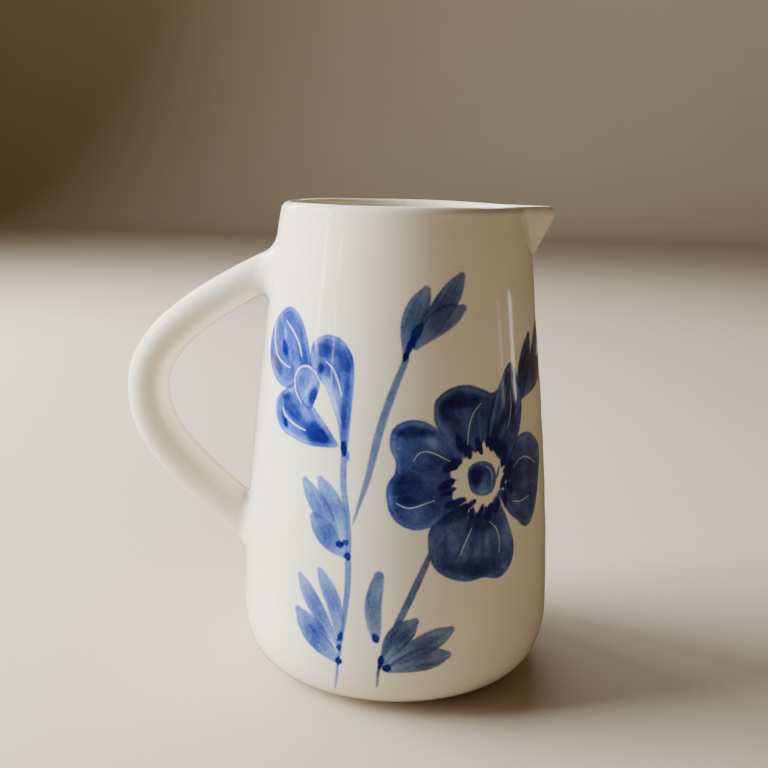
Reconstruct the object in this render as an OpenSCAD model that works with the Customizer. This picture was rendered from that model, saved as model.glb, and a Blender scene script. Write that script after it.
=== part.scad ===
// Ceramic pitcher: a tapered round vessel with a beak spout on +X and a loop handle on -X.
// It is hand-built from luted clay pieces, coated with glaze inside and out, and stands on a bare foot ring.
// Z is up, and the origin is on the vessel's axis, in the plane that it stands on.

/* [Vessel] */
// Height of the rim above the table
height = 180; // [160:1:200]
// Outer radius at the rim
rim_r = 45.5; // [42:0.5:50]
// Largest outer radius, low on the belly
belly_r = 60.6; // [56:0.2:66]
// Height of the largest radius
belly_z = 26.5; // [22:0.5:32]
// How late the side leans in: 1 is a straight cone
taper_power = 1.5; // [1.2:0.05:1.8]
// Squareness of the curve from foot to belly: 2 is an ellipse
belly_power = 2.5; // [2.1:0.1:3]

/* [Walls] */
// Clay and glaze together, at the side
wall = 4.6; // [4:0.1:6]
// Height of the inside floor above the table
floor_z = 9; // [8:0.5:12]
// Height of the rounded top of the wall
lip_h = 3.4; // [2.5:0.1:4]
// Thickness of each coat of glaze
glaze = 0.4; // [0.3:0.05:0.6]

/* [Foot] */
// Outer radius of the bare foot ring
foot_r = 44; // [40:0.5:46]
// Width of the foot ring's flat
foot_w = 4.5; // [3:0.5:6]
// Gap under the glaze that the foot ring leaves
foot_h = 2; // [1.5:0.1:3]

/* [Spout] */
// How far the spout stands out from the rim
spout_reach = 11.0; // [8:0.1:14]
// Half the spout's width where it joins the rim
spout_half_w = 15; // [12:0.5:18]
// How far the spout runs down from the rim
spout_drop = 20; // [18:1:28]
// Thickness of the spout's wall at its ridge
spout_wall = 3.8; // [3.2:0.1:4.6]

/* [Handle] */
// Reach of the handle's centre line from the axis
handle_reach = 98; // [92:1:104]
// Height of the furthest point of the handle
handle_far_z = 105; // [100:1:110]
// Height at which the handle leaves the upper wall
handle_top_z = 154; // [150:1:160]
// Height at which the handle meets the lower wall
handle_low_z = 53; // [50:1:58]
// Thickness of the handle, seen from the side
handle_thick = 15.9; // [13:0.1:17]
// Width of the handle, seen from behind
handle_width = 17; // [14:0.5:20]
// How far the slip collars spread from the handle
collar_spread = 6; // [4:0.5:8]

/* [Hidden] */
$fn = 96;
cream = [0.93, 0.90, 0.83];
bare_clay = [0.80, 0.72, 0.62];

side_steps = 22;   // rings up the tapered side
curve_steps = 14;  // rings round the belly
lip_steps = 8;     // rings over each half of the lip
lip_mid_r = rim_r - wall / 2;
lip_z = height - lip_h;     // where the wall starts to round over
spout_bottom_z = height - spout_drop;
spout_bottom_w = 1.5;       // half width of the notch's blunt bottom
inner_floor_r = 30;         // where the flat of the inside floor ends
inner_power = 2.2;          // squareness of the inside curve at the floor

// Outer radius of the tapered side at height z
function side_r(z) = belly_r - (belly_r - rim_r) * pow(max(0, z - belly_z) / (height - belly_z), taper_power);

// Points of the outside, set in by d: from the foot round the belly, up the side and over the lip
function belly_points(d) = [for (i = [0 : curve_steps]) let (a = 90 * i / curve_steps)
    [foot_r + (belly_r - foot_r - d) * pow(sin(a), 2 / belly_power),
     belly_z - (belly_z - foot_h - d) * pow(cos(a), 2 / belly_power)]];
function side_z(i) = belly_z + (lip_z - belly_z) * i / side_steps;
function side_points(d) = [for (i = [1 : side_steps]) [side_r(side_z(i)) - d, side_z(i)]];
function lip_outer(d) = let (half = side_r(lip_z) - lip_mid_r)
    [for (i = [1 : lip_steps]) let (a = 90 * i / lip_steps)
        [lip_mid_r + (half - d) * cos(a), lip_z + (lip_h - d) * sin(a)]];
function outside(d) = concat(belly_points(d), side_points(d), lip_outer(d));

// Points of the inside, set out by d: from the crown of the lip down the wall to the middle of the floor
function inner_r(z) = side_r(z) - wall;
function lip_inner(d) = let (half = lip_mid_r - inner_r(lip_z))
    [for (i = [lip_steps : -1 : 1]) let (a = 90 * i / lip_steps)
        [lip_mid_r - (half - d) * cos(a), lip_z + (lip_h - d) * sin(a)]];
function inner_side(d) = [for (i = [side_steps : -1 : 1]) [inner_r(side_z(i)) + d, side_z(i)]];
function inner_curve(d) = [for (i = [curve_steps : -1 : 0]) let (a = 90 * i / curve_steps)
    [inner_floor_r + (belly_r - wall - inner_floor_r + d) * pow(sin(a), 2 / inner_power),
     belly_z - (belly_z - floor_z + d) * pow(cos(a), 2 / inner_power)]];
function inside(d) = concat(lip_inner(d), inner_side(d), inner_curve(d), [[0, floor_z - d]]);

// Radius of the finished outside and inside at height z, lip included
function round_lip(z) = sqrt(max(0, 1 - pow(max(0, z - lip_z) / lip_h, 2)));
function outer_at(z) = lip_mid_r + (side_r(min(z, lip_z)) - lip_mid_r) * round_lip(z);
function inner_at(z) = lip_mid_r - (lip_mid_r - inner_r(min(z, lip_z))) * round_lip(z);

// Everything inside the outer surface, set in by d
module filled(d) {
    rotate_extrude()
        polygon(concat([[0, foot_h + d]], outside(d), [[0, height - d]]));
}

// The wedge of wall that the spout takes the place of
function spout_w(z) = spout_bottom_w + (spout_half_w - spout_bottom_w) * (z - spout_bottom_z) / spout_drop;
module spout_notch() {
    top_z = height + 1;
    rotate([90, 0, 90])
        translate([0, 0, rim_r / 2])
            linear_extrude(rim_r)
                polygon([[-spout_bottom_w, spout_bottom_z], [spout_bottom_w, spout_bottom_z],
                         [spout_w(top_z), top_z], [-spout_w(top_z), top_z]]);
}

module clay_body() {
    color(bare_clay)
        difference() {
            rotate_extrude()
                polygon(concat([[0, foot_h + glaze]], outside(glaze), inside(glaze)));
            spout_notch();
        }
}

module foot_ring() {
    soft = 0.5;
    top_z = foot_h + glaze;
    inner = foot_r - foot_w;
    color(bare_clay)
        rotate_extrude()
            polygon([[inner, soft], [inner + soft, 0], [foot_r - soft, 0], [foot_r, soft],
                     [foot_r, top_z], [inner, top_z]]);
}

module outer_glaze() {
    color(cream)
        difference() {
            rotate_extrude()
                polygon(concat(outside(0), [for (i = [len(outside(0)) - 1 : -1 : 0]) outside(glaze)[i]]));
            spout_notch();
            for (top = [true, false]) collar_solid(top);
        }
}

module liner_glaze() {
    color(cream)
        difference() {
            rotate_extrude()
                polygon(concat([[lip_mid_r, height - glaze], [lip_mid_r, height]], inside(0),
                               [for (i = [len(inside(0)) - 1 : -1 : 0]) inside(glaze)[i]]));
            spout_notch();
        }
}

// Spout: a grid that follows the vessel's wall at its edges and stands out along its ridge
spout_rows = 14;
spout_cols = 12;            // on each side of the ridge
spout_lip_rows = 5;
spout_lip_angle = 84;       // how far up its quarter round the spout's lip is drawn
ridge_soft = 0.16;          // how rounded the ridge is
crease_power = 1.25;        // how hollow the spout's sides are: 1 is flat
function spout_zs() = concat(
    [for (i = [0 : spout_rows]) spout_bottom_z + (spout_drop - lip_h) * i / spout_rows],
    [for (i = [1 : spout_lip_rows]) lip_z + lip_h * sin(spout_lip_angle * i / spout_lip_rows)]);
// The ridge stands out in a straight line up to the lip, which rounds over above it
function stands_out(z) = spout_reach * min(1, (z - spout_bottom_z) / (lip_z - spout_bottom_z));
// Share of the reach across the spout: 1 on the ridge, falling to 0 at the edges, u = -1 and 1
function fall(u) = sqrt(u * u + ridge_soft * ridge_soft) - ridge_soft;
function across(u) = pow(max(0, 1 - fall(u) / fall(1)), crease_power);
function on_circle(r, y) = sqrt(r * r - y * y);
function spout_outer(u, z) = let (y = u * spout_w(z))
    [on_circle(outer_at(z), y) + stands_out(z) * across(u), y, z];
function spout_inner(u, z) = let (y = u * spout_w(z))
    [on_circle(inner_at(z), y) + (stands_out(z) + wall - spout_wall) * across(u), y, z];
function us() = [for (i = [-spout_cols : spout_cols]) i / spout_cols];
module spout() {
    zs = spout_zs();
    u = us();
    m = len(u);
    n = len(zs);
    outer_points = [for (z = zs) for (x = u) spout_outer(x, z)];
    inner_points = [for (z = zs) for (x = u) spout_inner(x, z)];
    function o(i, j) = i * m + j;
    function k(i, j) = m * n + i * m + j;
    faces = concat(
        [for (i = [0 : n - 2]) for (j = [0 : m - 2]) each [[o(i, j), o(i + 1, j), o(i + 1, j + 1)],
                                                           [o(i, j), o(i + 1, j + 1), o(i, j + 1)]]],
        [for (i = [0 : n - 2]) for (j = [0 : m - 2]) each [[k(i, j), k(i + 1, j + 1), k(i + 1, j)],
                                                           [k(i, j), k(i, j + 1), k(i + 1, j + 1)]]],
        [for (j = [0 : m - 2]) each [[o(0, j), o(0, j + 1), k(0, j + 1)], [o(0, j), k(0, j + 1), k(0, j)]]],
        [for (j = [0 : m - 2]) each [[o(n - 1, j), k(n - 1, j), k(n - 1, j + 1)],
                                     [o(n - 1, j), k(n - 1, j + 1), o(n - 1, j + 1)]]],
        [for (i = [0 : n - 2]) each [[o(i, 0), k(i, 0), k(i + 1, 0)], [o(i, 0), k(i + 1, 0), o(i + 1, 0)]]],
        [for (i = [0 : n - 2]) each [[o(i, m - 1), k(i + 1, m - 1), k(i, m - 1)],
                                     [o(i, m - 1), o(i + 1, m - 1), k(i + 1, m - 1)]]]);
    color(cream)
        polyhedron(points = concat(outer_points, inner_points), faces = faces);
}

// Handle: an oval section swept along two Bezier curves that meet at the furthest point
handle_sides = 24;
middle_rings = 30;
collar_rings = 8;           // closer rings under each slip collar
upper_share = 0.16;         // share of the upper curve that its collar covers
lower_share = 0.20;         // the same, of the lower curve
upper_end_in = 15.2;        // how far inside the upper wall the centre line starts
upper_end_up = 7;           // how much higher it is there than at the wall
upper_pull = 3;             // how far past the furthest point the upper curve is drawn
upper_pull_down = 22;       // how far below the top that pull is
far_up = 8;                 // how straight the back runs above its furthest point
far_down = 18.5;            // the same, below it
lower_end_in = 12.5;        // how far inside the lower wall the centre line ends
lower_end_down = 9.7;       // how much lower it is there than at the wall
lower_pull_out = 21;        // how far outside the lower wall the lower curve is drawn
lower_pull_up = 18.3;       // how far above the lower joint that pull is
neck_share = 0.88;          // thickness where it leaves the upper wall, as a share of the full
root_gain = 0.07;           // how much thicker it grows towards the lower wall, as a share
upper_curve = [[upper_end_in - side_r(handle_top_z), handle_top_z + upper_end_up],
               [-handle_reach - upper_pull, handle_top_z - upper_pull_down],
               [-handle_reach, handle_far_z + far_up], [-handle_reach, handle_far_z]];
lower_curve = [[-handle_reach, handle_far_z], [-handle_reach, handle_far_z - far_down],
               [-side_r(handle_low_z) - lower_pull_out, handle_low_z + lower_pull_up],
               [lower_end_in - side_r(handle_low_z), handle_low_z - lower_end_down]];
function bezier(p, t) = let (u = 1 - t)
    u * u * u * p[0] + 3 * t * u * u * p[1] + 3 * t * t * u * p[2] + t * t * t * p[3];
// A place s along the handle runs from 0, inside the upper wall, through 1, its furthest point,
// to 2, inside the lower wall
function centre(s) = s <= 1 ? bezier(upper_curve, s) : bezier(lower_curve, s - 1);
function along(s) = let (step = 0.01, d = centre(min(2, s + step)) - centre(max(0, s - step))) d / norm(d);
function half_thick(s) = handle_thick / 2
    * (s < 1 ? neck_share + (1 - neck_share) * sin(90 * s) : 1 + root_gain * (s - 1));
function ring(s, grow) = let (c = centre(s), d = along(s))
    [for (j = [0 : handle_sides - 1]) let (a = 360 * j / handle_sides,
        side = (half_thick(s) + grow) * cos(a), y = (handle_width / 2 + grow) * sin(a))
        [c[0] - d[1] * side, y, c[1] + d[0] * side]];
function collar_place(top, i) = top ? upper_share * i / collar_rings : 2 - lower_share * i / collar_rings;
function handle_places() = let (first = upper_share, last = 2 - lower_share)
    concat([for (i = [0 : collar_rings]) collar_place(true, i)],
           [for (i = [1 : middle_rings - 1]) first + (last - first) * i / middle_rings],
           [for (i = [collar_rings : -1 : 0]) collar_place(false, i)]);
// Triangles between ring p and ring q, each given by its first point's number
function band(p, q) = [for (j = [0 : handle_sides - 1]) let (e = (j + 1) % handle_sides)
    each [[p + j, q + e, q + j], [p + j, p + e, q + e]]];
function bands(first, count) = [for (i = [0 : count - 2])
    each band(first + i * handle_sides, first + (i + 1) * handle_sides)];
function flip(faces) = [for (f = faces) [for (i = [len(f) - 1 : -1 : 0]) f[i]]];

// A closed tube through a list of rings
module tube(rings, reversed) {
    n = handle_sides;
    last = (len(rings) - 1) * n;
    faces = concat(bands(0, len(rings)),
                   [[for (j = [n - 1 : -1 : 0]) j]], [[for (j = [0 : n - 1]) last + j]]);
    polyhedron(points = [for (r = rings) each r], faces = reversed ? flip(faces) : faces);
}

module handle() {
    color(cream)
        difference() {
            tube([for (s = handle_places()) ring(s, 0)], false);
            filled(glaze);
        }
}

// A collar of slip round one end of the handle, wider towards the wall
function spread(i) = 0.25 + collar_spread * pow(1 - i / collar_rings, 2);
function collar_outer(top) = [for (i = [0 : collar_rings]) ring(collar_place(top, i), spread(i))];
function collar_inner(top) = [for (i = [0 : collar_rings]) ring(collar_place(top, i), 0)];
module collar_solid(top) {
    tube(collar_outer(top), !top);
}
module slip_collar(top) {
    n = handle_sides;
    count = collar_rings + 1;
    shift = count * n;
    raw = concat(bands(0, count), flip(bands(shift, count)), flip(band(0, shift)),
                 band(collar_rings * n, shift + collar_rings * n));
    points = [for (r = concat(collar_outer(top), collar_inner(top))) each r];
    difference() {
        polyhedron(points = points, faces = top ? raw : flip(raw));
        filled(glaze);
    }
}

module upper_handle_slip() {
    color(cream) slip_collar(true);
}

module lower_handle_slip() {
    color(cream) slip_collar(false);
}

clay_body();
foot_ring();
outer_glaze();
liner_glaze();
spout();
handle();
upper_handle_slip();
lower_handle_slip();
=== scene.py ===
"""Looks of the hand-painted ceramic pitcher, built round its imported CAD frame.

Lengths are in millimetres until a mesh is made. The painting is laid out on the vessel's outside by
(s, z): s is how far round the surface from its front line, positive towards the spout, and z is the height.
"""
import math

import bpy
import numpy as np
from mathutils import Matrix, Vector


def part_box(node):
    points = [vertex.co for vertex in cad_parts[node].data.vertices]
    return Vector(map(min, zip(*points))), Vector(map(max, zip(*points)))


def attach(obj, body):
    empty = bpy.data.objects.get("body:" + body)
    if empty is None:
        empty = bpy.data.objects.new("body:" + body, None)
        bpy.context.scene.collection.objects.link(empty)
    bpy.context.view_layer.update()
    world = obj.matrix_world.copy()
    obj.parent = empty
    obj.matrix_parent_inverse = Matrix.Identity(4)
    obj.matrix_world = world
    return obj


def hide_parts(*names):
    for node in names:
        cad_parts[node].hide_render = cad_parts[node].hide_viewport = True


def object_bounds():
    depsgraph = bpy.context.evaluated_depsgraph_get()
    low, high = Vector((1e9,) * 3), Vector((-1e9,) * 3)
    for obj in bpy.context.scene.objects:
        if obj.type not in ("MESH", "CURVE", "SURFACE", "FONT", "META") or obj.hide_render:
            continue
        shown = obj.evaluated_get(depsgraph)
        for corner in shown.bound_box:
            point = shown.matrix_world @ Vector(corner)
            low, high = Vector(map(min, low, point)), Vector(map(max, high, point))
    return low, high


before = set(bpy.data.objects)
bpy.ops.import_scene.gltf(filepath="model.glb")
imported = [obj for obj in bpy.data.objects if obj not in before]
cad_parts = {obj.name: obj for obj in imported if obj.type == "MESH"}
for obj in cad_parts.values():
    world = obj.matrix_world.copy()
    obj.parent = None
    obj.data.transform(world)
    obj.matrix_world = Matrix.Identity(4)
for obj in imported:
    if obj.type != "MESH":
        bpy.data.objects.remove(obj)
cad_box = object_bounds()

MM = 0.001

# ---------------------------------------------------------------------------
# Driving dimensions, the same as the CAD part's
# ---------------------------------------------------------------------------
HEIGHT = cad_box[1][2] / MM
BELLY_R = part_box("outer_glaze")[1].y / MM
BELLY_Z = 26.5
BELLY_POWER = 2.5
TAPER_POWER = 1.5
RIM_R = 45.5
WALL = 4.6
LIP_H = 3.4
LIP_Z = HEIGHT - LIP_H
LIP_MID_R = RIM_R - WALL / 2
FLOOR_Z = 9.0
INNER_FLOOR_R = 30.0
INNER_POWER = 2.2
FOOT_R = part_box("foot_ring")[1].x / MM
FOOT_W = 4.5
FOOT_H = 2.0
UNDERSIDE_Z = 2.4

SPOUT_REACH = 11.0
SPOUT_HALF_W = 15.0
SPOUT_DROP = 20.0
SPOUT_BOTTOM_W = 1.5
SPOUT_WALL = 3.8
RIDGE_SOFT = 0.16
CREASE_POWER = 1.25

HANDLE_THICK = 15.9
HANDLE_WIDTH = 17.0
NECK_SHARE = 0.88      # the handle's thickness at the upper wall, as a share of the full one
ROOT_GAIN = 0.07       # what it gains by the lower wall, as a share
FAR_POINT = (-98, 105)
UPPER_CURVE = np.array([(-34, 161), (-101, 132), (-98, 113), FAR_POINT], float)
LOWER_CURVE = np.array([FAR_POINT, (-98, 86.5), (-80.5, 71.3), (-47, 43.3)], float)

# ---------------------------------------------------------------------------
# Sizes that only the looks have
# ---------------------------------------------------------------------------
SPOUT_SWELL = 0.8      # how far the wall swells out under the spout's foot
SWELL_HALF_W = 11.0
SWELL_HALF_RISE = 0.55    # as a share of the spout's height
FLOOR_DISH = 0.5       # how far the inside's floor dips in its middle
RIM_ZONE = 12.0        # the lip's unevenness fades out this far down the wall
RIM_WAVES = ((2, 0.18, 0.7), (5, 0.10, 0.0))    # waves round the rim, height and phase of each
FOOT_SOFT = 0.7        # how round the foot ring's edges are rubbed

STRAP_POWER = 0.94     # under 1, this squares the handle's oval a little
UPPER_FILLET = (3.8, 8.0)    # the handle's fillet radius at the wall, over and under it and at its flanks
LOWER_FILLET = (2.4, 3.8)
ROOT_DEPTH = 1.6       # how far inside the wall's surface the handle ends

PAINTED_Z = (6.0, 168.0)
PAINTED_TURN = (math.radians(-68), math.radians(118))
PAINT_STEP = 0.55      # mesh spacing where the painting is
PLAIN_STEP = 1.3       # mesh spacing round the back
HEEL_STEP = 1.0        # mesh spacing up the wall below the painting
RIM_STEP = 0.8         # mesh spacing up the wall above the painting
MEAN_R = 57.0          # the wall's radius that the spacing round it is worked out at


# ---------------------------------------------------------------------------
# Small mathematics
# ---------------------------------------------------------------------------
def smoothstep(low, high, x):
    """0 up to low and 1 from high on, with a smooth rise between."""
    t = np.clip((x - low) / (high - low), 0.0, 1.0)
    return t * t * (3.0 - 2.0 * t)


def value_noise(x, y, seed):
    """Smooth noise from 0 to 1 on the plane, one lattice point per unit."""
    def lattice(i, j):
        h = np.sin(i * 127.1 + j * 311.7 + seed * 74.7) * 43758.5453
        return h - np.floor(h)
    i, j = np.floor(x), np.floor(y)
    u, v = smoothstep(0, 1, x - i), smoothstep(0, 1, y - j)
    low = lattice(i, j) * (1 - u) + lattice(i + 1, j) * u
    high = lattice(i, j + 1) * (1 - u) + lattice(i + 1, j + 1) * u
    return low * (1 - v) + high * v


def spline(points, closed=False, per=10):
    """A smooth curve through the points."""
    p = np.array(points, float)
    if closed:
        p = np.vstack([p[-1], p, p[0], p[1]])
    else:
        p = np.vstack([2 * p[0] - p[1], p, 2 * p[-1] - p[-2]])
    t = np.linspace(0, 1, per, endpoint=False)[:, None]
    pieces = []
    for a, b, c, d in zip(p[:-3], p[1:-2], p[2:-1], p[3:]):
        pieces.append(0.5 * (2 * b + (c - a) * t + (2 * a - 5 * b + 4 * c - d) * t ** 2
                             + (3 * b - a - 3 * c + d) * t ** 3))
    if not closed:
        pieces.append(p[-2][None, :])
    return np.vstack(pieces)


def bezier(p, t):
    """Points at each share t along the cubic curve that the four points p steer."""
    t = t[:, None]
    return (1 - t) ** 3 * p[0] + 3 * t * (1 - t) ** 2 * p[1] + 3 * t * t * (1 - t) * p[2] + t ** 3 * p[3]


# ---------------------------------------------------------------------------
# The vessel's shape
# ---------------------------------------------------------------------------
def side_r(z):
    """Outer radius of the tapered side, above the belly."""
    rise = np.clip((np.asarray(z, float) - BELLY_Z) / (HEIGHT - BELLY_Z), 0, None)
    return BELLY_R - (BELLY_R - RIM_R) * rise ** TAPER_POWER


def outer_r(z):
    """Outer radius at any height, without the spout."""
    z = np.asarray(z, float)
    fall = np.clip((BELLY_Z - z) / (BELLY_Z - FOOT_H), 0, 1)
    belly = FOOT_R + (BELLY_R - FOOT_R) * (1 - fall ** BELLY_POWER) ** (1 / BELLY_POWER)
    return np.where(z < BELLY_Z, belly, side_r(z))


def quarter(steps, power):
    """Points from (0, 1) to (1, 0) round a superellipse."""
    a = np.linspace(0, math.pi / 2, steps)
    return np.sin(a) ** (2 / power), np.cos(a) ** (2 / power)


def outer_profile():
    """The outside, from the foot ring up to the lip."""
    across, down = quarter(400, BELLY_POWER)
    belly = np.stack([FOOT_R + (BELLY_R - FOOT_R) * across, BELLY_Z - (BELLY_Z - FOOT_H) * down], 1)
    z = np.linspace(BELLY_Z, LIP_Z, 400)[1:]
    side = np.stack([side_r(z), z], 1)
    return np.vstack([belly, side])


def lip_profile():
    """Over the lip, from the outside to the inside."""
    a = np.linspace(0, math.pi, 25)
    half = np.where(a < math.pi / 2, side_r(LIP_Z) - LIP_MID_R, LIP_MID_R - (side_r(LIP_Z) - WALL))
    return np.stack([LIP_MID_R + half * np.cos(a), LIP_Z + LIP_H * np.sin(a)], 1)


def inner_profile():
    """The inside, from the lip down to near the floor's middle."""
    z = np.linspace(LIP_Z, BELLY_Z, 60)[:-1]
    side = np.stack([side_r(z) - WALL, z], 1)
    across, down = quarter(40, INNER_POWER)
    reach = BELLY_R - WALL - INNER_FLOOR_R
    curve = np.stack([INNER_FLOOR_R + reach * across, BELLY_Z - (BELLY_Z - FLOOR_Z) * down], 1)[::-1]
    floor = [(r, FLOOR_Z - FLOOR_DISH * (1 - (r / INNER_FLOOR_R) ** 2)) for r in (26, 21, 16, 11, 6, 2)]
    return np.vstack([side, curve, floor])


def resample(profile, step):
    """The same curve, with a point every step along it."""
    length = np.concatenate([[0], np.cumsum(np.linalg.norm(np.diff(profile, axis=0), axis=1))])
    count = max(2, int(round(length[-1] / step)) + 1)
    at = np.linspace(0, length[-1], count)
    return np.stack([np.interp(at, length, profile[:, k]) for k in (0, 1)], 1)


def spout_pull(y, z, thinning):
    """How far the spout stands out of the round wall, along +X."""
    rise = (z - (HEIGHT - SPOUT_DROP)) / SPOUT_DROP
    half = SPOUT_BOTTOM_W + (SPOUT_HALF_W - SPOUT_BOTTOM_W) * np.clip(rise, 0, 1)
    u = np.abs(y) / half
    edge = math.hypot(1, RIDGE_SOFT) - RIDGE_SOFT
    # The seam with the wall is a soft crease that melts into the rim, and the spout fades in at its foot
    crease = CREASE_POWER + 0.5 * smoothstep(0.7, 1, rise)
    share = np.clip(1 - (np.hypot(u, RIDGE_SOFT) - RIDGE_SOFT) / edge, 0, 1) ** crease
    start = smoothstep(-0.06, 0.10, rise)
    lip_rise = (LIP_Z - HEIGHT + SPOUT_DROP) / SPOUT_DROP
    reach = SPOUT_REACH * np.clip(rise / lip_rise, 0, 1) + thinning
    # A soft mound whose middle is just under the spout's foot
    mound = np.exp(-((rise + 0.15) / SWELL_HALF_RISE) ** 2 - (y / SWELL_HALF_W) ** 2)
    return start * share * reach + SPOUT_SWELL * mound


def wavering(phi, z):
    """Slight unevenness of a hand-made wall, in its radius."""
    rings = 0.05 * np.sin(z / 2.9 + 1.3 * np.sin(phi)) + 0.04 * np.sin(z / 4.7 + 2.0 * phi)
    oval = 0.10 * np.cos(2 * phi + 0.6) + 0.05 * np.cos(3 * phi)
    return (rings + oval) * smoothstep(4, 20, z)


def column_angles():
    """Angles round the vessel from the front line, closer together where it is painted."""
    first, last = PAINTED_TURN
    dense = np.linspace(first, last, int((last - first) * MEAN_R / PAINT_STEP) + 1)
    rest = 2 * math.pi - (last - first)
    sparse = np.linspace(last, last + rest, int(rest * MEAN_R / PLAIN_STEP) + 1)[1:-1]
    return np.concatenate([dense, sparse])


# ---------------------------------------------------------------------------
# Meshes
# ---------------------------------------------------------------------------
def make_object(name, points_mm, faces, materials, face_material=None):
    """A smooth-shaded mesh in the scene; face_material says which of the materials each face has."""
    mesh = bpy.data.meshes.new(name)
    mesh.from_pydata((np.asarray(points_mm) * MM).tolist(), [], faces)
    mesh.validate()
    mesh.update()
    mesh.shade_smooth()
    for material in materials:
        mesh.materials.append(material)
    if face_material is not None:
        mesh.polygons.foreach_set("material_index", np.asarray(face_material, np.int32))
    piece = bpy.data.objects.new(name, mesh)
    bpy.context.scene.collection.objects.link(piece)
    return piece


def grid_faces(rows, cols):
    """Quads over rows of points, each row a closed ring."""
    i, j = np.meshgrid(np.arange(rows - 1), np.arange(cols), indexing="ij")
    e = (j + 1) % cols
    quads = np.stack([i * cols + j, i * cols + e, (i + 1) * cols + e, (i + 1) * cols + j], -1)
    return quads.reshape(-1, 4).tolist()


def cap(ring_start, cols, centre, turned):
    """A fan of triangles from one ring of points to its centre point, facing the other way if turned."""
    fan = []
    for j in range(cols):
        a, b = ring_start + j, ring_start + (j + 1) % cols
        fan.append([b, a, centre] if turned else [a, b, centre])
    return fan


def vessel_points():
    """Rows of points from the underside, up the outside, over the lip and down to the inside's middle."""
    underside = np.array([(r, UNDERSIDE_Z) for r in (4, 14, 24, 34, 40)], float)
    outside = outer_profile()
    below, above = outside[:, 1] < PAINTED_Z[0], outside[:, 1] > PAINTED_Z[1]
    low = resample(outside[below], HEEL_STEP)
    painted = resample(outside[~below & ~above], PAINT_STEP)
    high = resample(outside[above], RIM_STEP)
    outer_rows = np.vstack([low, painted, high])
    lip = lip_profile()[1:-1]
    inside = inner_profile()
    rows = np.vstack([underside, outer_rows, lip, inside])
    is_inner = np.arange(len(rows)) >= len(underside) + len(outer_rows) + len(lip) // 2
    is_under = np.arange(len(rows)) < len(underside)
    return rows, is_inner, is_under


def make_vessel(materials):
    """The whole vessel as one closed mesh, and the place of each of its points in the painting."""
    rows, is_inner, is_under = vessel_points()
    phi = column_angles()
    r, z = rows[:, 0][:, None], rows[:, 1][:, None]
    z_all = np.broadcast_to(z, (len(rows), len(phi)))
    r_all = r + wavering(phi[None, :], z) * (~is_under)[:, None] * smoothstep(8, 40, r)
    x, y = r_all * np.sin(phi), -r_all * np.cos(phi)
    # The spout is thinner than the wall, so its inside is drawn out further than its outside
    thinning = np.where(is_inner, WALL - SPOUT_WALL, 0.0)[:, None]
    x = x + spout_pull(y, z_all, thinning) * (np.sin(phi) > 0)
    # Each wave only dips below the full height, so the rim never stands above it
    dip = sum(height * (np.sin(waves * phi + phase) - 1) for waves, height, phase in RIM_WAVES)
    z_out = z_all + dip[None, :] * smoothstep(HEIGHT - RIM_ZONE, HEIGHT, z_all)
    points = np.stack([x, y, z_out], -1).reshape(-1, 3)
    count, cols = len(rows), len(phi)
    bottom, middle = count * cols, count * cols + 1
    points = np.vstack([points, [0, 0, UNDERSIDE_Z], [0, 0, FLOOR_Z - FLOOR_DISH]])
    faces = grid_faces(count, cols)
    faces += cap(0, cols, bottom, True) + cap((count - 1) * cols, cols, middle, False)
    under_faces = (is_under[:-1] & is_under[1:]).repeat(cols)
    face_material = np.concatenate([under_faces, np.ones(cols, bool), np.zeros(cols, bool)]).astype(int)
    piece = make_object("painted_vessel", points, faces, materials, face_material)
    turned = (phi + math.pi) % (2 * math.pi) - math.pi
    # The two centre points come last, and are not on the outside
    s = np.append(turned[None, :] * outer_r(z_all), [0, 0])
    heights = np.append(z_all, [0, 0])
    outer = np.append((~is_inner & ~is_under).repeat(cols), [False, False])
    return piece, s, heights, outer


def handle_centre(s):
    """The handle's middle line, with s 0 at the upper wall, 1 at the far point and 2 at the lower wall."""
    upper = bezier(UPPER_CURVE, np.clip(s, 0, 1))
    lower = bezier(LOWER_CURVE, np.clip(s - 1, 0, 1))
    return np.where((s < 1)[:, None], upper, lower)


def strap(s, turn):
    """The bare strap's points at each s and each turn round its section, and the way it faces there."""
    centre = handle_centre(s)
    along = np.gradient(centre, axis=0)
    along /= np.linalg.norm(along, axis=1)[:, None]
    neck = NECK_SHARE + (1 - NECK_SHARE) * np.sin(np.pi / 2 * s)
    half = HANDLE_THICK / 2 * np.where(s < 1, neck, 1 + ROOT_GAIN * (s - 1))
    # A slightly squared oval, as a strap pulled by hand has
    across = np.sign(np.cos(turn)) * np.abs(np.cos(turn)) ** STRAP_POWER
    aside = np.sign(np.sin(turn)) * np.abs(np.sin(turn)) ** STRAP_POWER
    out = half[:, None] * across[None, :]
    along_x, along_z = along[:, 0:1], along[:, 1:2]
    base = np.stack([centre[:, 0:1] - along_z * out,
                     np.broadcast_to(HANDLE_WIDTH / 2 * aside, out.shape),
                     centre[:, 1:2] + along_x * out], -1)
    normal = np.stack([-along_z * np.cos(turn),
                       np.broadcast_to(np.sin(turn), out.shape),
                       along_x * np.cos(turn)], -1)
    return base, normal


def off_wall(points):
    """How far each point stands off the vessel's outside, less than zero within it."""
    return np.hypot(points[..., 0], points[..., 1]) - outer_r(points[..., 2])


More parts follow.
